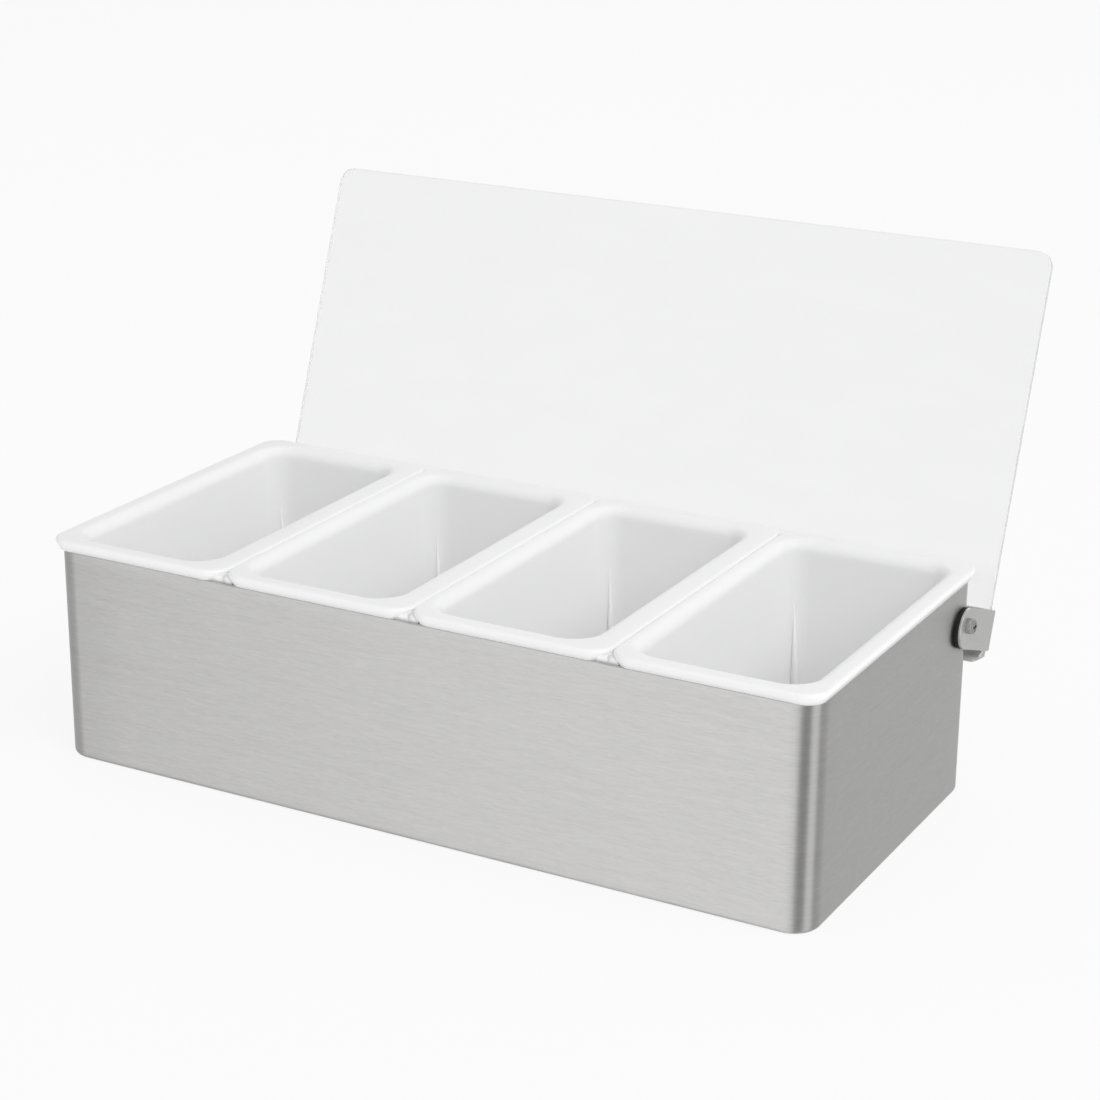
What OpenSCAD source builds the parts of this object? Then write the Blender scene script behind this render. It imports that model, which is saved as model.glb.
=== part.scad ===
// Condiment caddy: a steel box that holds four lift-out pots under one clear lid.
// The lid turns on two screws at the back of the side walls and is drawn open.
// Origin: middle of the underside. X runs along the front, Y to the back, Z up.

/* [Steel box] */
// Outside width of the box
box_w = 300; // [260:1:360]
// Outside depth of the box, front to back
box_d = 140; // [125:1:170]
// Height of the box
box_h = 80.7; // [65:0.1:110]
// Thickness of the box's steel sheet
sheet = 1; // [0.7:0.1:1.4]
// Radius of the upright corners
box_corner_r = 10; // [7:0.5:14]
// Radius of the bent edge round the base
base_edge_r = 2; // [1.6:0.1:3.5]
// Height of the hem folded inside the top edge
hem_h = 8; // [4:0.5:10]
// Thickness of the folded hem
hem_t = 1; // [0.6:0.1:1.4]

/* [Pots] */
// Slit between neighbouring rims
rim_gap = 0.6; // [0.4:0.1:1.5]
// How far the rims hang out over the box
rim_overhang = 1.4; // [0.6:0.1:2.5]
// Height of the rim above the box
rim_h = 4.2; // [3:0.1:6]
// Width of the rim's flat top
rim_flat = 4.2; // [3:0.1:6]
// Radius of the rim's outer corners
rim_corner_r = 8; // [6:0.5:11]
// Radius of the rim's upper outside edge
rim_edge_r = 1.2; // [0.6:0.1:1.8]
// Radius that rolls the rim into the pot
mouth_r = 4.6; // [3:0.1:6]
// Corner radius inside the mouth of the pot
mouth_corner_r = 11; // [8:0.5:14]
// Thickness of the pot's wall and floor
pot_wall = 2; // [1.4:0.1:2.6]
// Slant of the pot's walls, degrees from upright
pot_draft = 3.5; // [1:0.5:5]
// Radius between the pot's floor and walls, inside
pot_floor_r = 6; // [4:0.5:9]
// Space between the pots and the floor of the box
pot_floor_gap = 4; // [2:0.5:8]

/* [Clear lid] */
// Thickness of the lid
lid_t = 3; // [2:0.1:4]
// How far the lid's front edge passes the rims, as a finger lip
lid_overhang = 7.8; // [4:0.2:12]
// Radius of the lid's front corners
lid_corner_r = 6; // [3:0.5:12]
// Radius of the lid's back corners, inside the hinge bar
lid_back_corner_r = 4; // [2:0.5:6]
// Gap between the rims' back edge and the lid as it swings past
lid_swing_gap = 2; // [0.4:0.1:2.5]
// Lean of the open lid behind upright, degrees
lid_lean = 20; // [10:1:30]
// Side gap between the lid and the hinge tabs
lid_side_gap = 0.3; // [0.2:0.1:1]

/* [Hinge] */
// Distance from the round of the back corners forward to the pivots
pivot_from_corner = 2.8; // [2.8:0.2:6]
// Distance from the top of the box down to the pivots
pivot_below_top = 14.4; // [14:0.2:18]
// Thickness of the hinge bar's steel
bar_t = 1; // [0.8:0.1:1.2]
// Width of the tabs at the ends of the hinge bar
tab_w = 14.8; // [12:0.2:16]
// How far the middle of the tabs lies behind the pivots with the lid closed
tab_shift = 1.1; // [0:0.1:2]
// Distance from the pivot to the tab's round end
tab_end = 6.8; // [6:0.1:9.5]
// How far the bar runs on behind the tabs
bar_rear = 5; // [4.5:0.1:8]
// Height of the lip folded round the lid's back edge
lip_h = 2.6; // [1.5:0.1:4]
// Slanted cut at the bar's back corners, measured along the bar
corner_cut = 3.6; // [2:0.2:5]
// The same cut, measured across the bar
corner_cut_across = 2.6; // [1.5:0.1:4]
// Outside radius of the folds
fold_r = 1.5; // [1.3:0.1:2]
// Thickness of the tape that bonds the lid to the bar
tape_t = 0.5; // [0.3:0.1:1]
// Distance from the tape to the ends and front edge of the bar
tape_inset = 1.5; // [1:0.1:3]
// Gap between the tabs and the rims that they swing past
tab_rim_gap = 0.2; // [0.2:0.1:1]

/* [Pivot screws] */
// Diameter of the screw's shank
screw_d = 3; // [2.5:0.1:3.5]
// Diameter of the screw head
head_d = 5.6; // [5:0.1:6.5]
// Height of the screw head
head_h = 2.6; // [2:0.1:3]
// Radius of the screw head's outer edge
head_edge_r = 1; // [0.5:0.1:1.3]
// Width of the cross recess from tip to tip
cross_span = 3.6; // [2.6:0.1:4]
// Width of each arm of the cross recess
cross_w = 0.9; // [0.6:0.1:1.1]
// Depth of the cross recess
cross_depth = 1.3; // [0.8:0.1:1.5]
// Diameter of the washer under the nut
washer_d = 6.4; // [6:0.1:6.6]
// Thickness of the washer
washer_t = 0.6; // [0.4:0.1:1]
// Width of the nut across its flats
nut_af = 5.5; // [5:0.1:5.5]
// Height of the nut
nut_h = 2.4; // [2:0.1:3]
// Length of screw that shows past the nut
screw_past_nut = 0.8; // [0.4:0.1:1.5]
// Gap round the screw in the tabs and spacers
pivot_clear = 0.08; // [0.05:0.01:0.1]
// Gap round the screw in the box, the washer and the nut
seat_clear = 0.03; // [0.02:0.01:0.05]

/* [Hidden] */
$fn = 64;
cut = 1;
weld = 0.1;
corner_steps = 6;
round_angles = [0, 22.5, 45, 67.5, 90];

steel = [0.72, 0.72, 0.70];
bright_steel = [0.80, 0.80, 0.79];
pot_white = [0.95, 0.95, 0.94];
clear_sheet = [0.92, 0.95, 0.95, 0.35];
black_rubber = [0.07, 0.07, 0.07];
tape_grey = [0.78, 0.79, 0.76];

// Pots, all hung by their rims on the box's top edge
pot_count = 4;
rims_w = box_w + 2 * rim_overhang;
rims_d = box_d + 2 * rim_overhang;
rim_w = (rims_w - (pot_count - 1) * rim_gap) / pot_count;
pot_pitch = rim_w + rim_gap;
rim_top = box_h + rim_h;
mouth_inset = rim_flat + mouth_r;
pot_base = sheet + pot_floor_gap;

// Pivot axis, and heights above it with the lid closed and level
pivot_from_back = box_corner_r + pivot_from_corner;
pivot_y = box_d / 2 - pivot_from_back;
pivot_z = box_h - pivot_below_top;
rim_back_y = pivot_from_back + rim_overhang - rim_edge_r;
rim_back_z = pivot_below_top + rim_h - rim_edge_r;
lid_under = norm([rim_back_y, rim_back_z]) + rim_edge_r + lid_swing_gap;
lid_over = lid_under + lid_t;
bar_under = lid_over + tape_t;
bar_over = bar_under + bar_t;
spacer_t = rim_overhang + tab_rim_gap;
tab_in_x = box_w / 2 + spacer_t;
tab_out_x = tab_in_x + bar_t;

// Distances behind the pivot with the lid closed
tab_front = tab_shift - tab_w / 2;
tab_back = tab_shift + tab_w / 2;
bar_back = tab_back + bar_rear;
lid_back = bar_back - fold_r;
lid_front = -(pivot_y + rims_d / 2 + lid_overhang);
lid_half_w = tab_in_x - lid_side_gap;
bar_half_w = tab_out_x - fold_r;
tab_round_z = tab_w / 2 - tab_end;

tape_half_w = bar_half_w - tape_inset;

screw_len = bar_t + spacer_t + sheet + washer_t + nut_h + screw_past_nut;

// A block with rounded upright corners and a rounded lower edge
module rounded_block(w, d, h, corner, edge) {
    for (x = [-1, 1])
        for (y = [-1, 1])
            translate([x * (w / 2 - corner), y * (d / 2 - corner), 0])
                rotate_extrude()
                    intersection() {
                        edge_profile(2 * corner, h, edge);
                        square([corner, h]);
                    }
    translate([0, d / 2 - corner, 0])
        rotate([90, 0, 0])
            linear_extrude(d - 2 * corner)
                edge_profile(w, h, edge);
    translate([corner - w / 2, 0, 0])
        rotate([90, 0, 90])
            linear_extrude(w - 2 * corner)
                edge_profile(d, h, edge);
}

// Upright section of the block, standing on its rounded lower edge
module edge_profile(w, h, edge) {
    translate([-w / 2, edge])
        square([w, h - edge]);
    translate([edge - w / 2, 0])
        square([w - 2 * edge, edge + weld]);
    for (x = [-1, 1])
        translate([x * (w / 2 - edge), edge])
            circle(edge);
}

// A flat plate with four rounded corners
module rounded_plate(w, d, h, r) {
    translate([-w / 2, r - d / 2, 0])
        cube([w, d - 2 * r, h]);
    translate([r - w / 2, -d / 2, 0])
        cube([w - 2 * r, d, h]);
    for (x = [-1, 1])
        for (y = [-1, 1])
            translate([x * (w / 2 - r), y * (d / 2 - r), 0])
                cylinder(r = r, h = h);
}

// Places children on a side's pivot axis, with +Z pointing out of the box
module at_pivot(side) {
    translate([side * box_w / 2, pivot_y, pivot_z])
        rotate([0, side * 90, 0])
            children();
}

module body_shell() {
    inner_w = box_w - 2 * sheet;
    inner_d = box_d - 2 * sheet;
    inner_corner = box_corner_r - sheet;
    color(steel)
        difference() {
            rounded_block(box_w, box_d, box_h, box_corner_r, base_edge_r);
            translate([0, 0, sheet])
                rounded_block(inner_w, inner_d, box_h - hem_h - sheet, inner_corner,
                              base_edge_r - sheet);
            translate([0, 0, box_h - hem_h - cut / 2])
                rounded_plate(inner_w - 2 * hem_t, inner_d - 2 * hem_t, hem_h + cut,
                              inner_corner - hem_t);
            for (side = [-1, 1])
                at_pivot(side)
                    translate([0, 0, -sheet - cut])
                        cylinder(d = screw_d + 2 * seat_clear, h = sheet + 2 * cut);
        }
}

// One level of a pot: inset from the rim's outside, height, corner radius
function level(inset, z, r) = [inset, z, max(r, 1)];

// Levels up the outside, over the rim and down to the floor inside
function pot_levels() =
    let (
        slant = tan(pot_draft),
        wall_in = mouth_inset - pot_wall,
        wall_corner = mouth_corner_r + pot_wall,
        foot_r = pot_floor_r + pot_wall,
        foot_in = wall_in + (box_h - pot_base - foot_r) * slant,
        floor_z = pot_base + pot_wall,
        floor_in = mouth_inset + (rim_top - mouth_r - floor_z - pot_floor_r) * slant
    )
    concat(
        [for (a = round_angles)
            level(foot_in + foot_r * (1 - sin(a)), pot_base + foot_r * (1 - cos(a)),
                  wall_corner - foot_r * (1 - sin(a)))],
        [level(wall_in, box_h, wall_corner),
         level(rim_overhang, box_h, rim_corner_r - rim_overhang)],
        [for (a = [0, 45, 90])
            level(rim_edge_r * (1 - cos(a)), rim_top - rim_edge_r * (1 - sin(a)),
                  rim_corner_r - rim_edge_r * (1 - cos(a)))],
        [for (a = round_angles)
            level(rim_flat + mouth_r * sin(a), rim_top - mouth_r * (1 - cos(a)),
                  mouth_corner_r + mouth_r * (1 - sin(a)))],
        [for (a = round_angles)
            level(floor_in + pot_floor_r * (1 - cos(a)), floor_z + pot_floor_r * (1 - sin(a)),
                  mouth_corner_r - pot_floor_r * (1 - cos(a)))]
    );

// Points round one level, anticlockwise from the front right corner
function level_points(l) =
    [for (corner = [0:3])
        for (i = [0:corner_steps])
            let (
                a = corner * 90 - 90 + i * 90 / corner_steps,
                mid = corner * 90 - 45,
                x = sign(cos(mid)) * (rim_w / 2 - l[0] - l[2]),
                y = sign(sin(mid)) * (rims_d / 2 - l[0] - l[2])
            )
            [x + l[2] * cos(a), y + l[2] * sin(a), l[1]]];

module pot(index) {
    levels = pot_levels();
    per_level = 4 * (corner_steps + 1);
    last = len(levels) - 1;
    points = [for (l = levels) each level_points(l)];
    walls = [for (i = [0:last - 1])
        for (j = [0:per_level - 1])
            let (
                a = i * per_level + j,
                d = i * per_level + (j + 1) % per_level
            )
            each [[a, a + per_level, d + per_level], [a, d + per_level, d]]];
    underside = [for (j = [0:per_level - 1]) j];
    inside_floor = [for (j = [per_level - 1:-1:0]) last * per_level + j];
    color(pot_white)
        translate([(index - (pot_count + 1) / 2) * pot_pitch, 0, 0])
            polyhedron(points, concat([underside], walls, [inside_floor]), convexity = 4);
}

module pot_1() {
    pot(1);
}

module pot_2() {
    pot(2);
}

module pot_3() {
    pot(3);
}

module pot_4() {
    pot(4);
}

// Turns what is drawn closed about the pivot axis into the open lid's place
module opened() {
    translate([0, pivot_y, pivot_z])
        rotate([-(90 + lid_lean), 0, 0])
            children();
}

// Extrudes an outline drawn with Y back and Z up, between two places along X
module along_x(x_from, x_to) {
    translate([x_from, 0, 0])
        rotate([90, 0, 90])
            linear_extrude(x_to - x_from)
                children();
}

module lid_panel() {
    color(clear_sheet)
        opened()
            translate([0, 0, lid_under]) {
                translate([-lid_half_w, lid_front + lid_corner_r, 0])
                    cube([2 * lid_half_w, lid_back - lid_front - lid_corner_r - lid_back_corner_r,
                          lid_t]);
                translate([lid_corner_r - lid_half_w, lid_front, 0])
                    cube([2 * (lid_half_w - lid_corner_r), 2 * lid_corner_r, lid_t]);
                translate([lid_back_corner_r - lid_half_w, lid_back - 2 * lid_back_corner_r, 0])
                    cube([2 * (lid_half_w - lid_back_corner_r), 2 * lid_back_corner_r, lid_t]);
                for (side = [-1, 1]) {
                    translate([side * (lid_half_w - lid_corner_r), lid_front + lid_corner_r, 0])
                        cylinder(r = lid_corner_r, h = lid_t);
                    translate([side * (lid_half_w - lid_back_corner_r),
                               lid_back - lid_back_corner_r, 0])
                        cylinder(r = lid_back_corner_r, h = lid_t);
                }
            }
}

// Quarter ring of folded sheet that bends from +X round to +Y
module fold_profile() {
    intersection() {
        difference() {
            circle(fold_r);
            circle(fold_r - bar_t);
        }
        square(fold_r);
    }
}

// Section of the hinge bar: a flat over the lid, folded under its back edge
module bar_profile() {
    fold_y = bar_back - fold_r;
    lip_bottom = lid_under - bar_t;
    translate([tab_front, bar_under])
        square([fold_y - tab_front, bar_t]);
    translate([bar_back - bar_t, lip_bottom + fold_r])
        square([bar_t, bar_over - lip_bottom - 2 * fold_r]);
    translate([bar_back - lip_h, lip_bottom])
        square([lip_h - fold_r, bar_t]);
    translate([fold_y, bar_over - fold_r])
        fold_profile();
    translate([fold_y, lip_bottom + fold_r])
        mirror([0, 1])
            fold_profile();
}

// Outline of a tab's round end, up to a height above the pivot
module tab_outline(top) {
    translate([tab_shift, tab_round_z])
        circle(d = tab_w);
    translate([tab_front, tab_round_z])
        square([tab_w, top - tab_round_z]);
}

module pivot_bore(length) {
    rotate([0, 90, 0])
        cylinder(d = screw_d + 2 * pivot_clear, h = length, center = true);
}

module hinge_bar() {
    color(bright_steel)
        opened()
            difference() {
                union() {
                    along_x(-bar_half_w, bar_half_w)
                        bar_profile();
                    for (side = [0, 1])
                        mirror([side, 0, 0]) {
                            along_x(tab_in_x, tab_out_x)
                                tab_outline(bar_over - fold_r);
                            translate([bar_half_w, tab_back, bar_over - fold_r])
                                rotate([90, 0, 0])
                                    linear_extrude(tab_w)
                                        fold_profile();
                        }
                }
                pivot_bore(2 * tab_out_x + cut);
                for (side = [0, 1])
                    mirror([side, 0, 0])
                        translate([bar_half_w, bar_back, lid_under - bar_t - cut / 2])
                            linear_extrude(bar_over - lid_under + bar_t + cut)
                                polygon([[-corner_cut, 0], [-corner_cut, cut], [cut, cut],
                                         [cut, -corner_cut_across], [0, -corner_cut_across]]);
            }
}

module bonding_tape() {
    color(tape_grey)
        opened()
            translate([-tape_half_w, tab_front + tape_inset, lid_over])
                cube([2 * tape_half_w, lid_back - lid_back_corner_r - tab_front - tape_inset,
                      tape_t]);
}

module spacer(side) {
    color(black_rubber)
        opened()
            mirror([side < 0 ? 1 : 0, 0, 0])
                difference() {
                    along_x(box_w / 2, tab_in_x)
                        tab_outline(tab_w / 2);
                    pivot_bore(2 * tab_out_x + cut);
                }
}

module spacer_left() {
    spacer(-1);
}

module spacer_right() {
    spacer(1);
}

// Rounded screw head, standing on its flat underside
module screw_head() {
    difference() {
        rotate_extrude() {
            square([head_d / 2 - head_edge_r, head_h]);
            square([head_d / 2, head_h - head_edge_r]);
            translate([head_d / 2 - head_edge_r, head_h - head_edge_r])
                circle(head_edge_r);
        }
        for (turn = [0, 90])
            rotate([0, 0, turn])
                translate([-cross_span / 2, -cross_w / 2, head_h - cross_depth])
                    cube([cross_span, cross_w, cross_depth + cut]);
    }
}

module pivot_screw(side) {
    head_z = spacer_t + bar_t;
    color(bright_steel)
        at_pivot(side) {
            translate([0, 0, head_z])
                screw_head();
            translate([0, 0, head_z - screw_len])
                cylinder(d = screw_d, h = screw_len);
        }
}

module pivot_screw_left() {
    pivot_screw(-1);
}

module pivot_screw_right() {
    pivot_screw(1);
}

// A ring or a nut on the screw inside the box, by its distance from the wall
module on_screw(side, depth, thickness) {
    at_pivot(side)
        translate([0, 0, -sheet - depth - thickness])
            difference() {
                children();
                translate([0, 0, -cut])
                    cylinder(d = screw_d + 2 * seat_clear, h = thickness + 2 * cut);
            }
}

module inner_washer(side) {
    color(bright_steel)
        on_screw(side, 0, washer_t)
            cylinder(d = washer_d, h = washer_t);
}

module inner_washer_left() {
    inner_washer(-1);
}

module inner_washer_right() {
    inner_washer(1);
}

module pivot_nut(side) {
    color(bright_steel)
        on_screw(side, washer_t, nut_h)
            cylinder(d = nut_af / cos(30), h = nut_h, $fn = 6);
}

module pivot_nut_left() {
    pivot_nut(-1);
}

module pivot_nut_right() {
    pivot_nut(1);
}

body_shell();
pot_1();
pot_2();
pot_3();
pot_4();
lid_panel();
hinge_bar();
bonding_tape();
spacer_left();
spacer_right();
pivot_screw_left();
pivot_screw_right();
inner_washer_left();
inner_washer_right();
pivot_nut_left();
pivot_nut_right();
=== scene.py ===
from math import cos, pi, radians, sin, sqrt, tan

import bmesh
import bpy
from mathutils import Matrix, Vector


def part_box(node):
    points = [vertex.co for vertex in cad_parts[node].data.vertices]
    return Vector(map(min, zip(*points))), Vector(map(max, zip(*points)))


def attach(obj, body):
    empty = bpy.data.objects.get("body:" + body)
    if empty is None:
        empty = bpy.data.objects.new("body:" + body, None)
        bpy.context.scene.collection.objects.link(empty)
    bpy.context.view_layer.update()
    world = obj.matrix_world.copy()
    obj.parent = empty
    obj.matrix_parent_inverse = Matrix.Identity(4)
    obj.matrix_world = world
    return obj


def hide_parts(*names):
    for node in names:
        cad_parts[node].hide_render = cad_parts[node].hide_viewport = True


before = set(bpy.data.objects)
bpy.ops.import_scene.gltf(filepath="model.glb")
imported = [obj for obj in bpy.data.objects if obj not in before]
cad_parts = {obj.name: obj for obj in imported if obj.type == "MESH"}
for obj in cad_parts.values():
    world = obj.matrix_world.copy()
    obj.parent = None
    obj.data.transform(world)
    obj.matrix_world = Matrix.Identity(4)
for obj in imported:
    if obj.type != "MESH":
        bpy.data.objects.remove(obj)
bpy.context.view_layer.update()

MM = 0.001

# Edges of a rounded loop that are longer than this are its straight sides
LONGEST_ARC_STEP = 3

# Sizes of the real object, in millimetres, with angles in radians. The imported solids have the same
# ones as far as LID_LEAN. Those below it are the scene's own.
BOX_W, BOX_D, BOX_H = 300, 140, 80.7
SHEET = 1
BOX_CORNER_R = 10
BASE_EDGE_R = 2
HEM_H, HEM_T = 8, 1

RIM_OVERHANG = 1.4
RIM_H = 4.2
RIM_FLAT = 4.2
RIM_CORNER_R = 8
RIM_EDGE_R = 1.2
MOUTH_R = 4.6
POT_WALL = 2
POT_DRAFT = radians(3.5)
POT_FLOOR_R = 6
POT_BASE = 5
POTS = 4

LID_T = 3
LID_FRONT_R, LID_BACK_R = 6, 4
LID_LEAN = radians(20)

# Read closely from the photograph, where the solids have wider gaps and corners and no bars or ribs
RIM_GAP = 0.3
# Beside another pot, the right rim is wider and the left rim narrower by this
RIM_SHIFT = 2.8
MOUTH_CORNER_R = 8
# At the rim the mouth's corners are wider by this
MOUTH_SPREAD = 6.5
# Under each rim a bar closes the seam to the next pot from below
BAR_W, BAR_H, BAR_IN = 6.5, 2.5, 2.3
# Slim ribs in the inner corners, which keep stacked pots from jamming
RIB_R, RIB_TIP_R = 2.4, 0.05
RIB_LOW, RIB_HIGH = 10, 64
RIB_LOW_IN, RIB_HIGH_IN = 3.4, 2.2

# Small forms that soften the solids' plain edges and walls
FOLD_H = 0.4
FOOT_R, FOOT_DIP = 0.3, 0.1
WALL_BOW = 0.5
NECK_OUT, NECK_H, NECK_CORNER = 0.3, 1.2, 0.5
RIM_BAND = 0.3
LID_EDGE = 0.35
BENT_STEEL_EDGE, THIN_EDGE, SPACER_EDGE, NUT_EDGE = 0.15, 0.08, 0.2, 0.15
# Edges that turn by more than this are softened
SHARP_TURN = radians(35)

# Keeps neighbouring loops at different heights
RIM_FALL = 0.02
# Slack when two lengths are compared
SLACK = 0.01
# Corners closer than this are one, and faces that turn by less than this are one flat
WELD = 0.001
FLAT_TURN = radians(0.5)

# How finely the corners and the straight sides are cut
BOX_STEPS, BOX_CUTS = 14, 12
POT_STEPS, POT_CUTS = 12, 4
EDGE_STEPS = 3

# Heights of the loops up the box's walls, between the base edge and the hem's fold
WALL_LEVELS = (4, 10, 20, 30, 40, 50, 60, 70, 76)

# The camera, as solved from the photograph's straight edges, in millimetres and degrees
CAMERA_PLACE = (446.1, -784.5, 403.7)
CAMERA_AZIMUTH = 28.71
CAMERA_ELEVATION = 19.44
CAMERA_ROLL = 0.407
PHOTO_SIDE = 1100
PHOTO_FOCAL = 2682.7
SENSOR = 36
NEAR_CLIP = 0.05

# What the metal mirrors all round the stage, as (compass place, level). 0 is towards -X and 0.25 is
# towards the front.
STUDIO_TURN = ((0.0, 0.46), (0.08, 0.50), (0.125, 0.66), (0.155, 0.92), (0.167, 1.0), (0.189, 0.96),
               (0.25, 0.90), (0.30, 0.80), (0.335, 0.45), (0.36, 0.30), (0.42, 0.30), (0.45, 0.80),
               (0.51, 0.80), (0.535, 0.38), (0.60, 0.44), (0.694, 0.57), (0.80, 0.66), (1.0, 0.46))
# The floor's own glow as the camera sees it and as it lights the object, its matt tone, and its size
# in metres
FLOOR_GLOW, FLOOR_BOUNCE = 0.86, 0.95
FLOOR_TONE = 0.12
FLOOR_HALF_SIDE = 6
# The backdrop as it lights the object and as the camera sees it
WORLD_FILL = 0.655
WORLD_WHITE = 0.975
# The lamp, in metres and watts
LAMP_PLACE = (2.5, -0.92, 2.97)
LAMP_AIM = (0, 0, 0.05)
LAMP_SIDE = 3.0
LAMP_POWER = 64.0

# Rays that show a thing directly or through the clear lid
SEEING_RAYS = ("Is Camera Ray", "Is Transmission Ray")

# Noise seldom leaves this span, so ramps and remaps run over it
NOISE_LOW, NOISE_HIGH = 0.3, 0.7


def add_object(name, bm):
    """Makes a smooth-shaded mesh object from a bmesh, which stays where it was modelled."""
    mesh = bpy.data.meshes.new(name)
    bm.to_mesh(mesh)
    bm.free()
    mesh.shade_smooth()
    piece = bpy.data.objects.new(name, mesh)
    bpy.context.scene.collection.objects.link(piece)
    return piece


def add_built(name, bm):
    """The same for a form built here, whose faces are turned outwards first."""
    bmesh.ops.recalc_face_normals(bm, faces=bm.faces[:])
    return add_object(name, bm)


def rounded_loop(bm, half_w, half_d, z, radii, steps=10, cuts=0):
    """A rounded rectangle of edges at height z. radii are those of the front left, front right, back
    left and back right corners."""
    done = bm.verts.layers.int.get("done") or bm.verts.layers.int.new("done")
    place = Matrix.Translation((0, 0, z * MM)) @ Matrix.Diagonal((half_w * MM, half_d * MM, 1, 1))
    corners = bmesh.ops.create_grid(bm, x_segments=1, y_segments=1, size=1, matrix=place)["verts"]
    faces = {f for v in corners for f in v.link_faces}
    bmesh.ops.delete(bm, geom=list(faces), context="FACES_ONLY")
    corners.sort(key=lambda v: (v.co.y, v.co.x))
    for vert, radius in zip(corners, radii):
        bmesh.ops.bevel(bm, geom=[vert], offset=radius * MM, segments=steps, profile=0.5,
                        affect="VERTICES", material=-1)
    edges = [e for e in bm.edges if not e.verts[0][done]]
    if cuts:
        straight = [e for e in edges if e.calc_length() > LONGEST_ARC_STEP * MM]
        bmesh.ops.subdivide_edges(bm, edges=straight, cuts=cuts)
        edges = [e for e in bm.edges if not e.verts[0][done]]
    for v in bm.verts:
        v[done] = 1
    return edges


def loft(bm, loops):
    """Skins neighbouring loops and closes the two ends. No two neighbours lie at one height, because
    bridging takes its direction from the line between their middles."""
    for lower, upper in zip(loops, loops[1:]):
        bmesh.ops.bridge_loops(bm, edges=lower + upper)
    for end in (loops[0], loops[-1]):
        bmesh.ops.contextual_create(bm, geom=end)


def arc(steps):
    """Angles of a quarter turn, ends included."""
    return [pi / 2 * i / steps for i in range(steps + 1)]


def box_levels():
    """Inset and height of each loop of the steel box: up the outside, over the hem, down the inside."""
    inner_edge = BASE_EDGE_R - SHEET
    fold = (SHEET + HEM_T) / 2
    levels = [(BASE_EDGE_R * (1 - sin(a)), BASE_EDGE_R * (1 - cos(a))) for a in arc(6)]
    levels += [(0, z) for z in WALL_LEVELS]
    levels += [(fold - fold * cos(a), BOX_H - FOLD_H + FOLD_H * sin(a)) for a in arc(5)]
    levels += [(fold + fold * sin(a), BOX_H - FOLD_H + FOLD_H * cos(a)) for a in arc(5)[1:]]
    hem_foot = BOX_H - HEM_H
    hem_in = SHEET + HEM_T
    levels += [(hem_in, hem_foot + FOOT_R + FOOT_DIP), (hem_in - FOOT_R, hem_foot + FOOT_DIP / 2)]
    levels += [(SHEET + FOOT_DIP, hem_foot), (SHEET, hem_foot - FOOT_DIP), (SHEET, BASE_EDGE_R)]
    levels += [(SHEET + inner_edge * (1 - cos(a)), SHEET + inner_edge * (1 - sin(a)))
               for a in arc(3)[1:]]
    return levels


def bow_walls(bm):
    """Swells the long walls a little between the corners, as thin sheet does."""
    for v in bm.verts:
        along = min(abs(v.co.x) / (BOX_W / 2 * MM), 1)
        up = v.co.z / (BOX_H * MM)
        if 0 < up < 1 and abs(v.co.y) > (BOX_D / 2 - SHEET - SLACK) * MM:
            swell = WALL_BOW * MM * (1 - along ** 2) * sin(pi * up)
            v.co.y += swell if v.co.y > 0 else -swell


def make_box():
    """The steel box: one sheet bent and folded, so that it is closed and has its true thickness."""
    bm = bmesh.new()
    loops = []
    for inset, z in box_levels():
        radii = (BOX_CORNER_R - inset,) * 4
        loops.append(rounded_loop(bm, BOX_W / 2 - inset, BOX_D / 2 - inset, z, radii,
                                  steps=BOX_STEPS, cuts=BOX_CUTS))
    loft(bm, loops)
    bow_walls(bm)
    piece = add_built("steel_box", bm)
    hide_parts("body_shell")
    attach(piece, "box")
    return piece


def pot_levels():
    """Inset, height and corner radius of each loop of a pot, up the outside and down the inside."""
    slant = tan(POT_DRAFT)
    mouth_in = RIM_FLAT + MOUTH_R
    wall_in = mouth_in - POT_WALL
    foot_r = POT_FLOOR_R + POT_WALL
    foot_in = wall_in + (BOX_H - POT_BASE - foot_r) * slant
    foot_corner = MOUTH_CORNER_R + POT_WALL
    rim_top = BOX_H + RIM_H
    floor_z = POT_BASE + POT_WALL
    floor_in = mouth_in + (rim_top - MOUTH_R - floor_z - POT_FLOOR_R) * slant
    levels = [(foot_in + foot_r * (1 - sin(a)), POT_BASE + foot_r * (1 - cos(a)),
               foot_corner - foot_r * (1 - sin(a))) for a in arc(8)]
    levels += [(wall_in + NECK_OUT, BOX_H - NECK_H, foot_corner),
               (wall_in, BOX_H + RIM_FALL, foot_corner - NECK_CORNER)]
    levels += [(RIM_OVERHANG + RIM_BAND, BOX_H, RIM_CORNER_R - RIM_OVERHANG),
               (RIM_OVERHANG, BOX_H + 2 * RIM_FALL, RIM_CORNER_R - RIM_OVERHANG)]
    levels += [(RIM_EDGE_R * (1 - cos(a)), rim_top - RIM_EDGE_R * (1 - sin(a)),
                RIM_CORNER_R - RIM_EDGE_R * (1 - cos(a))) for a in arc(6)]
    levels += [(RIM_FLAT + MOUTH_R * sin(a), rim_top - RIM_FALL - MOUTH_R * (1 - cos(a)),
                MOUTH_CORNER_R + MOUTH_SPREAD * (1 - sin(a))) for a in arc(10)]
    levels += [(floor_in + POT_FLOOR_R * (1 - cos(a)), floor_z + POT_FLOOR_R * (1 - sin(a)),
                MOUTH_CORNER_R - POT_FLOOR_R * (1 - cos(a))) for a in arc(10)]
    return levels


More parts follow.
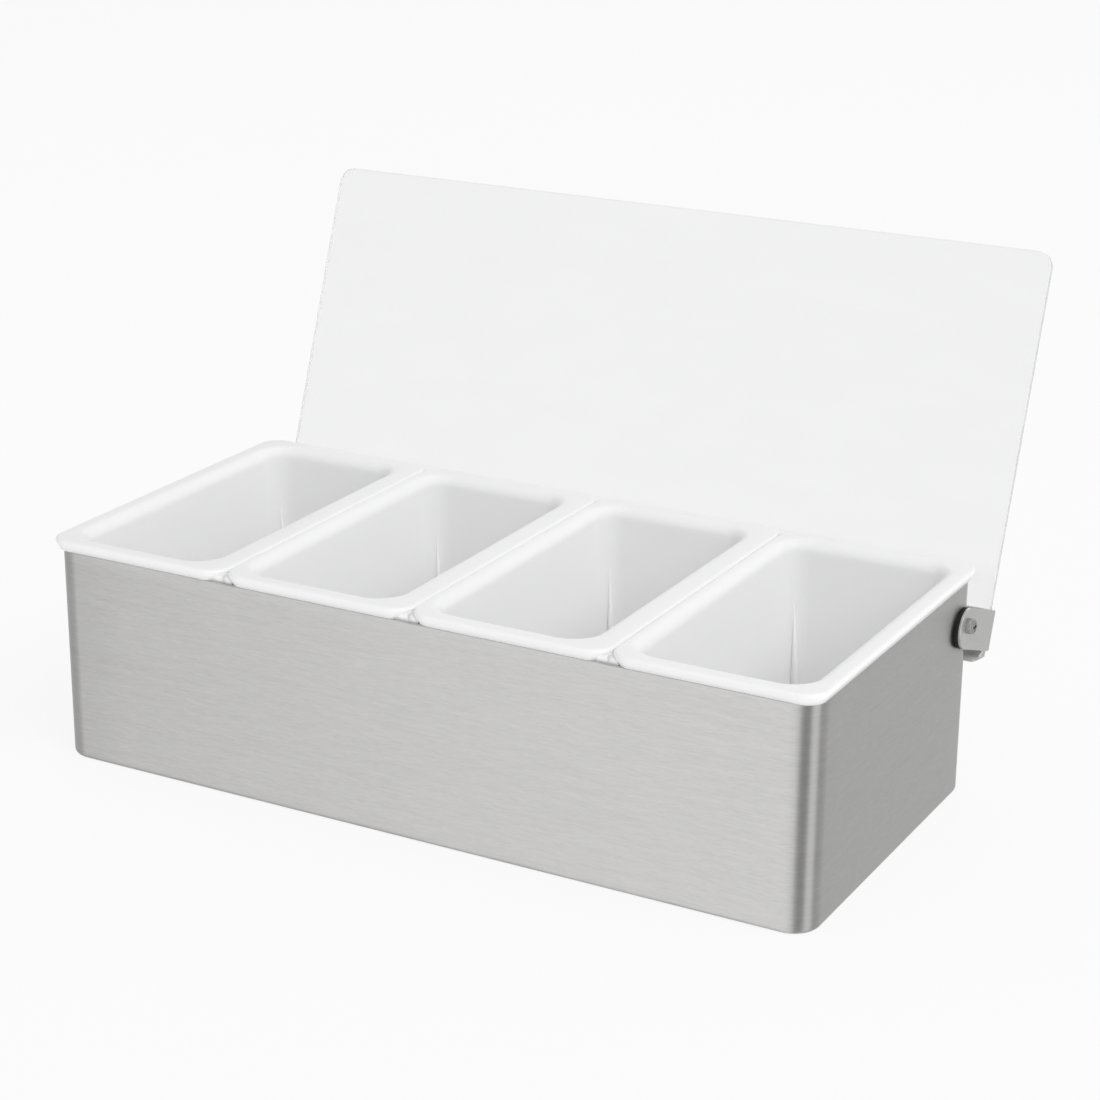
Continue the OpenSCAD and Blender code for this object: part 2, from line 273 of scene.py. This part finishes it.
def add_seam_bar(bm, rim_w, rim_d, side):
    """The bar along one side of a pot. It nearly meets the next pot's bar."""
    width = BAR_W if side > 0 else BAR_W - RIM_SHIFT
    middle = rim_w / 2 + RIM_GAP / 2 - RIM_FALL - width / 2
    place = Matrix.Translation((side * middle * MM, 0, (BOX_H + BAR_H / 2) * MM))
    size = Matrix.Diagonal((width, rim_d - 2 * BAR_IN, BAR_H, 1))
    bmesh.ops.create_cube(bm, size=MM, matrix=place @ size)


def add_rib(bm, rim_w, rim_d, side, end):
    """A slim cone half sunk into an inner corner, its foot further from the walls than its tip."""
    ends = []
    for z, rib_in in ((RIB_LOW, RIB_LOW_IN), (RIB_HIGH, RIB_HIGH_IN)):
        inset = RIM_FLAT + MOUTH_R + (BOX_H + RIM_H - MOUTH_R - z) * tan(POT_DRAFT) + rib_in
        ends.append(Vector((side * (rim_w / 2 - inset), end * (rim_d / 2 - inset), z)) * MM)
    axis = ends[1] - ends[0]
    turn = axis.to_track_quat("Z", "Y").to_matrix().to_4x4()
    place = Matrix.Translation(sum(ends, Vector()) / 2) @ turn
    bmesh.ops.create_cone(bm, cap_ends=True, segments=24, radius1=RIB_R * MM, radius2=RIB_TIP_R * MM,
                          depth=axis.length, matrix=place)


def make_pot(index):
    """A hollow pot, closed from the foot up the outside, over the rim and down to the floor inside."""
    rims_w = BOX_W + 2 * RIM_OVERHANG
    rim_w = (rims_w - (POTS - 1) * RIM_GAP) / POTS
    rim_d = BOX_D + 2 * RIM_OVERHANG
    shift_right = RIM_SHIFT if index < POTS else 0
    shift_left = RIM_SHIFT if index > 1 else 0
    bm = bmesh.new()
    loops = []
    for inset, z, radius in pot_levels():
        loop = rounded_loop(bm, rim_w / 2 - inset, rim_d / 2 - inset, z, (radius,) * 4,
                            steps=POT_STEPS, cuts=POT_CUTS)
        loops.append(loop)
        if inset >= RIM_FLAT:
            for vert in {v for edge in loop for v in edge.verts}:
                vert.co.x -= (shift_right if vert.co.x > 0 else shift_left) * MM
    loft(bm, loops)
    for side, next_pot in ((-1, index - 1), (1, index + 1)):
        if 0 < next_pot <= POTS:
            add_seam_bar(bm, rim_w, rim_d, side)
        for end in (-1, 1):
            add_rib(bm, rim_w + 2 * (shift_left if side < 0 else -shift_right), rim_d, side, end)
    shift = (index - (POTS + 1) / 2) * (rim_w + RIM_GAP) * MM
    bmesh.ops.translate(bm, vec=(shift, 0, 0), verts=bm.verts[:])
    piece = add_built(f"white_pot_{index}", bm)
    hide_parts(f"pot_{index}")
    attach(piece, f"pot_{index}")
    return piece


def make_lid():
    """The clear sheet: made flat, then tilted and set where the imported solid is. It casts no shadow
    and takes no part in soft bounce light, which clear sheet hardly holds back."""
    low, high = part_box("lid_panel")
    half_w = (high.x - low.x) / 2 / MM
    length = ((high.z - low.z) / MM - LID_T * sin(LID_LEAN)) / cos(LID_LEAN)
    bm = bmesh.new()
    soft = LID_EDGE * (1 - sqrt(0.5))
    levels = ((LID_EDGE, 0), (soft, soft), (0, LID_EDGE), (0, LID_T - LID_EDGE),
              (soft, LID_T - soft), (LID_EDGE, LID_T))
    radii = (LID_FRONT_R, LID_FRONT_R, LID_BACK_R, LID_BACK_R)
    loops = [rounded_loop(bm, half_w - inset, length / 2 - inset, z, radii) for inset, z in levels]
    loft(bm, loops)
    bm.normal_update()
    for face in bm.faces:
        broad = abs(face.normal.z) > 0.9
        face.material_index = 0 if broad else 1
    turn = Matrix.Rotation(-(pi / 2 + LID_LEAN), 3, "X")
    bmesh.ops.rotate(bm, cent=(0, 0, 0), matrix=turn, verts=bm.verts[:])
    low_y = min(v.co.y for v in bm.verts)
    low_z = min(v.co.z for v in bm.verts)
    bmesh.ops.translate(bm, vec=(0, low.y - low_y, low.z - low_z), verts=bm.verts[:])
    piece = add_built("clear_lid", bm)
    # The two broad faces stay flat-shaded, because smooth shading would bend what they show
    for face in piece.data.polygons:
        face.use_smooth = len(face.vertices) == 4
    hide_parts("lid_panel")
    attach(piece, "lid")
    piece.visible_diffuse = False
    piece.visible_shadow = False
    return piece


def refine(node, body, name, edge_width):
    """A copy of a small solid, cleared of needless edges, with its sharp edges softened."""
    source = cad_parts[node]
    bm = bmesh.new()
    bm.from_mesh(source.data)
    bmesh.ops.remove_doubles(bm, verts=bm.verts[:], dist=WELD * MM)
    bmesh.ops.dissolve_limit(bm, angle_limit=FLAT_TURN, verts=bm.verts[:], edges=bm.edges[:])
    piece = add_object(name, bm)
    bevel = piece.modifiers.new("soft_edges", "BEVEL")
    bevel.width = edge_width * MM
    bevel.segments = EDGE_STEPS
    bevel.limit_method = "ANGLE"
    bevel.angle_limit = SHARP_TURN
    bevel.harden_normals = True
    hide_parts(node)
    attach(piece, body)
    return piece


def set_stops(ramp_node, stops):
    """Fills a colour ramp with (position, colour) stops, where a single number is a grey."""
    points = ramp_node.color_ramp.elements
    while len(points) < len(stops):
        points.new(0.5)
    for point, (place, colour) in zip(points, stops):
        point.position = place
        point.color = (*colour, 1) if isinstance(colour, tuple) else (colour, colour, colour, 1)


class Nodes:
    """Adds shader nodes to a new material and links them by short calls."""

    def __init__(self, name):
        self.material = bpy.data.materials.new(name)
        self.material.use_nodes = True
        self.tree = self.material.node_tree
        self.shader = self.tree.nodes["Principled BSDF"]
        self.coords = self.add("ShaderNodeTexCoord").outputs["Object"]

    def add(self, kind, **settings):
        node = self.tree.nodes.new(kind)
        for key, value in settings.items():
            setattr(node, key, value)
        return node

    def link(self, source, target):
        self.tree.links.new(source, target)

    def stretched(self, scale):
        mapping = self.add("ShaderNodeMapping")
        mapping.inputs["Scale"].default_value = scale
        self.link(self.coords, mapping.inputs["Vector"])
        return mapping.outputs["Vector"]

    def noise(self, scale, detail=3, roughness=0.5, vector=None):
        """Noise with scale given in repeats per metre."""
        node = self.add("ShaderNodeTexNoise")
        node.inputs["Scale"].default_value = scale
        node.inputs["Detail"].default_value = detail
        node.inputs["Roughness"].default_value = roughness
        self.link(vector or self.coords, node.inputs["Vector"])
        return node.outputs["Fac"]

    def ramp(self, source, low, high):
        """Colours or greys that follow a noise from its low to its high end."""
        node = self.add("ShaderNodeValToRGB")
        set_stops(node, ((NOISE_LOW, low), (NOISE_HIGH, high)))
        self.link(source, node.inputs["Fac"])
        return node.outputs["Color"]

    def remap(self, source, low, high):
        """Numbers that follow a noise from its low to its high end."""
        node = self.add("ShaderNodeMapRange")
        ends = {"From Min": NOISE_LOW, "From Max": NOISE_HIGH, "To Min": low, "To Max": high}
        for key, value in ends.items():
            node.inputs[key].default_value = value
        self.link(source, node.inputs["Value"])
        return node.outputs["Result"]

    def math(self, operation, a, b):
        node = self.add("ShaderNodeMath", operation=operation)
        for socket, value in zip(node.inputs, (a, b)):
            if isinstance(value, (int, float)):
                socket.default_value = value
            else:
                self.link(value, socket)
        return node.outputs["Value"]

    def bump(self, height, distance, strength):
        """distance is the height of the relief in millimetres."""
        node = self.add("ShaderNodeBump")
        node.inputs["Distance"].default_value = distance * MM
        node.inputs["Strength"].default_value = strength
        self.link(height, node.inputs["Height"])
        return node.outputs["Normal"]

    def set(self, **values):
        """Sets the shader's own sockets: names as in the panel, with _ for a space."""
        for key, value in values.items():
            socket = self.shader.inputs[key.replace("_", " ")]
            if isinstance(value, bpy.types.NodeSocket):
                self.link(value, socket)
            else:
                socket.default_value = value
        return self.material


def brushed_steel():
    """Grain that runs round the walls: long in the level, fine up and down."""
    n = Nodes("brushed_steel")
    fine = n.noise(1, detail=4, roughness=0.75, vector=n.stretched((220, 220, 1700)))
    broad = n.noise(1, detail=3, roughness=0.6, vector=n.stretched((40, 40, 500)))
    cloud = n.noise(1, detail=2, vector=n.stretched((18, 18, 45)))
    grain = n.math("ADD", n.math("MULTIPLY", fine, 0.7), n.math("MULTIPLY", broad, 0.3))
    shade = n.math("ADD", n.math("MULTIPLY", grain, 0.8), n.math("MULTIPLY", cloud, 0.2))
    colour = n.ramp(shade, (0.585, 0.582, 0.575), (0.775, 0.77, 0.762))
    roughness = n.math("ADD", n.remap(grain, 0.32, 0.42), n.remap(cloud, -0.03, 0.03))
    normal = n.bump(grain, 0.006, 0.3)
    upright = n.add("ShaderNodeCombineXYZ")
    upright.inputs["Z"].default_value = 1
    return n.set(Base_Color=colour, Metallic=1.0, Roughness=roughness, Anisotropic=0.8, Normal=normal,
                 Tangent=upright.outputs["Vector"])


def hinge_steel():
    """Satin steel with fine lines along the bar."""
    n = Nodes("satin_steel")
    fine = n.noise(1, detail=4, roughness=0.7, vector=n.stretched((60, 900, 900)))
    cloud = n.noise(60, detail=3)
    colour = n.ramp(fine, (0.80, 0.80, 0.79), (0.90, 0.90, 0.89))
    roughness = n.math("ADD", n.remap(fine, 0.32, 0.40), n.remap(cloud, -0.03, 0.04))
    return n.set(Base_Color=colour, Metallic=1.0, Roughness=roughness, Normal=n.bump(fine, 0.006, 0.3))


def white_plastic():
    """Moulded white plastic: soft gloss that turns a little duller in broad patches and fine scuffs."""
    n = Nodes("white_plastic")
    wave = n.noise(24, detail=2)
    tint = n.noise(11, detail=2)
    scuff = n.noise(1, detail=4, roughness=0.6, vector=n.stretched((220, 70, 500)))
    colour = n.ramp(tint, (0.945, 0.946, 0.947), (0.96, 0.96, 0.96))
    roughness = n.math("ADD", n.remap(wave, 0.30, 0.34), n.remap(scuff, -0.01, 0.02))
    return n.set(Base_Color=colour, Roughness=roughness, IOR=1.5)


def clear_acrylic():
    """Polished clear sheet with a faint grey tint and the lightest haze of wiping."""
    n = Nodes("clear_acrylic")
    haze = n.noise(1, detail=4, vector=n.stretched((30, 90, 90)))
    tint = n.ramp(haze, (0.90, 0.902, 0.902), (0.915, 0.917, 0.917))
    roughness = n.remap(haze, 0.0, 0.03)
    return n.set(Base_Color=tint, Roughness=roughness, Transmission_Weight=1.0, IOR=1.49)


def acrylic_edge():
    """The sheet's sawn and buffed edge, which scatters light instead of showing a clear view."""
    n = Nodes("acrylic_edge")
    saw = n.noise(1, detail=4, roughness=0.7, vector=n.stretched((1500, 300, 300)))
    colour = n.ramp(saw, (0.86, 0.865, 0.865), (0.93, 0.935, 0.935))
    return n.set(Base_Color=colour, Roughness=n.remap(saw, 0.3, 0.5), Transmission_Weight=0.35, IOR=1.49)


def black_plastic():
    """Matt black with a fine pebbled skin."""
    n = Nodes("black_plastic")
    pebble = n.noise(1400, detail=3)
    cloud = n.noise(150, detail=2)
    colour = n.ramp(cloud, 0.004, 0.009)
    return n.set(Base_Color=colour, Roughness=n.remap(pebble, 0.55, 0.7), Normal=n.bump(pebble, 0.02, 0.5))


def fastener_steel():
    """Plated steel, finely speckled."""
    n = Nodes("plated_steel")
    speck = n.noise(1800, detail=4)
    cloud = n.noise(300, detail=3)
    colour = n.ramp(speck, (0.46, 0.46, 0.465), (0.64, 0.64, 0.64))
    roughness = n.math("ADD", n.remap(cloud, 0.31, 0.38), n.remap(speck, -0.02, 0.03))
    return n.set(Base_Color=colour, Metallic=1.0, Roughness=roughness, Normal=n.bump(speck, 0.006, 0.3))


def foam_tape():
    """Grey foam with small open cells."""
    n = Nodes("foam_tape")
    cells = n.noise(2600, detail=4, roughness=0.7)
    colour = n.ramp(cells, (0.50, 0.51, 0.48), (0.60, 0.61, 0.58))
    return n.set(Base_Color=colour, Roughness=0.8, Normal=n.bump(cells, 0.05, 0.5))


def dress(piece, *materials):
    """Gives a piece its materials, in the order of its faces' material numbers."""
    for material in materials:
        piece.data.materials.append(material)


def either(tree, ray_names):
    """1 for rays of any of these kinds, 0 for others."""
    path = tree.nodes.new("ShaderNodeLightPath")
    seen = path.outputs[ray_names[0]]
    for name in ray_names[1:]:
        most = tree.nodes.new("ShaderNodeMath")
        most.operation = "MAXIMUM"
        tree.links.new(seen, most.inputs[0])
        tree.links.new(path.outputs[name], most.inputs[1])
        seen = most.outputs["Value"]
    return seen


def make_floor():
    """A wide pale floor that glows, so that it looks nearly white and still keeps the shadow."""
    bm = bmesh.new()
    bmesh.ops.create_grid(bm, x_segments=1, y_segments=1, size=FLOOR_HALF_SIDE)
    floor = add_built("studio_floor", bm)
    material = bpy.data.materials.new("studio_floor")
    material.use_nodes = True
    tree = material.node_tree
    tree.nodes.clear()
    out = tree.nodes.new("ShaderNodeOutputMaterial")
    matt = tree.nodes.new("ShaderNodeBsdfDiffuse")
    matt.inputs["Color"].default_value = (FLOOR_TONE, FLOOR_TONE, FLOOR_TONE, 1)
    glow = tree.nodes.new("ShaderNodeEmission")
    pick = tree.nodes.new("ShaderNodeMix")
    pick.inputs["A"].default_value = FLOOR_BOUNCE
    pick.inputs["B"].default_value = FLOOR_GLOW
    tree.links.new(either(tree, SEEING_RAYS), pick.inputs["Factor"])
    tree.links.new(pick.outputs["Result"], glow.inputs["Strength"])
    both = tree.nodes.new("ShaderNodeAddShader")
    tree.links.new(matt.outputs[0], both.inputs[0])
    tree.links.new(glow.outputs[0], both.inputs[1])
    tree.links.new(both.outputs[0], out.inputs["Surface"])
    dress(floor, material)
    floor.visible_glossy = False


def make_world():
    """White for the camera, an even fill, and bright and dark cards all round for reflections."""
    world = bpy.data.worlds.new("studio")
    bpy.context.scene.world = world
    world.use_nodes = True
    tree = world.node_tree
    background = tree.nodes["Background"]
    background.inputs["Color"].default_value = (1, 1, 1, 1)
    place = tree.nodes.new("ShaderNodeTexCoord")
    turn = tree.nodes.new("ShaderNodeTexGradient")
    turn.gradient_type = "RADIAL"
    tree.links.new(place.outputs["Object"], turn.inputs["Vector"])
    cards = tree.nodes.new("ShaderNodeValToRGB")
    set_stops(cards, STUDIO_TURN)
    tree.links.new(turn.outputs["Fac"], cards.inputs["Fac"])
    strength = WORLD_FILL
    for rays, level in ((("Is Glossy Ray",), cards.outputs["Color"]), (SEEING_RAYS, WORLD_WHITE)):
        pick = tree.nodes.new("ShaderNodeMix")
        tree.links.new(either(tree, rays), pick.inputs["Factor"])
        for socket, value in ((pick.inputs["A"], strength), (pick.inputs["B"], level)):
            if isinstance(value, float):
                socket.default_value = value
            else:
                tree.links.new(value, socket)
        strength = pick.outputs["Result"]
    tree.links.new(strength, background.inputs["Strength"])


def make_lamp():
    """One large square soft lamp, far off on the right, which mirrors don't show."""
    light = bpy.data.lights.new("right_softbox", "AREA")
    light.shape = "SQUARE"
    light.size = LAMP_SIDE
    light.energy = LAMP_POWER
    lamp = bpy.data.objects.new("right_softbox", light)
    lamp.location = LAMP_PLACE
    direction = Vector(LAMP_AIM) - Vector(LAMP_PLACE)
    lamp.rotation_euler = direction.to_track_quat("-Z", "Y").to_euler()
    lamp.visible_glossy = False
    bpy.context.scene.collection.objects.link(lamp)


def make_camera():
    """The photograph's camera: where it stood, how it was turned and how long its lens was."""
    azimuth = radians(CAMERA_AZIMUTH)
    elevation = radians(CAMERA_ELEVATION)
    roll = radians(CAMERA_ROLL)
    back = Vector((sin(azimuth) * cos(elevation), -cos(azimuth) * cos(elevation), sin(elevation)))
    level_right = Vector((cos(azimuth), sin(azimuth), 0))
    level_up = back.cross(level_right)
    right = level_right * cos(roll) + level_up * sin(roll)
    up = level_up * cos(roll) - level_right * sin(roll)
    data = bpy.data.cameras.new("photo_camera")
    data.sensor_width = SENSOR
    data.sensor_fit = "HORIZONTAL"
    data.lens = SENSOR * PHOTO_FOCAL / PHOTO_SIDE
    data.clip_start = NEAR_CLIP
    camera = bpy.data.objects.new("photo_camera", data)
    turn = Matrix((right, up, back)).transposed().to_4x4()
    camera.matrix_world = Matrix.Translation(Vector(CAMERA_PLACE) * MM) @ turn
    bpy.context.scene.collection.objects.link(camera)
    bpy.context.scene.camera = camera


def build():
    """The whole scene: camera and studio first, then the pieces with their materials."""
    make_camera()
    make_world()
    make_lamp()
    make_floor()
    dress(make_box(), brushed_steel())
    plastic = white_plastic()
    for index in range(1, POTS + 1):
        dress(make_pot(index), plastic)
    dress(make_lid(), clear_acrylic(), acrylic_edge())
    dress(refine("hinge_bar", "lid", "lid_hinge_bar", BENT_STEEL_EDGE), hinge_steel())
    dress(refine("bonding_tape", "lid", "lid_bonding_tape", THIN_EDGE), foam_tape())
    black = black_plastic()
    plated = fastener_steel()
    for side in ("left", "right"):
        dress(refine(f"spacer_{side}", "lid", f"black_spacer_{side}", SPACER_EDGE), black)
        dress(refine(f"pivot_screw_{side}", "box", f"screw_{side}", THIN_EDGE), plated)
        dress(refine(f"inner_washer_{side}", "box", f"washer_{side}", THIN_EDGE), plated)
        dress(refine(f"pivot_nut_{side}", "box", f"nut_{side}", NUT_EDGE), plated)
    bpy.context.scene.view_settings.view_transform = "Standard"


build()
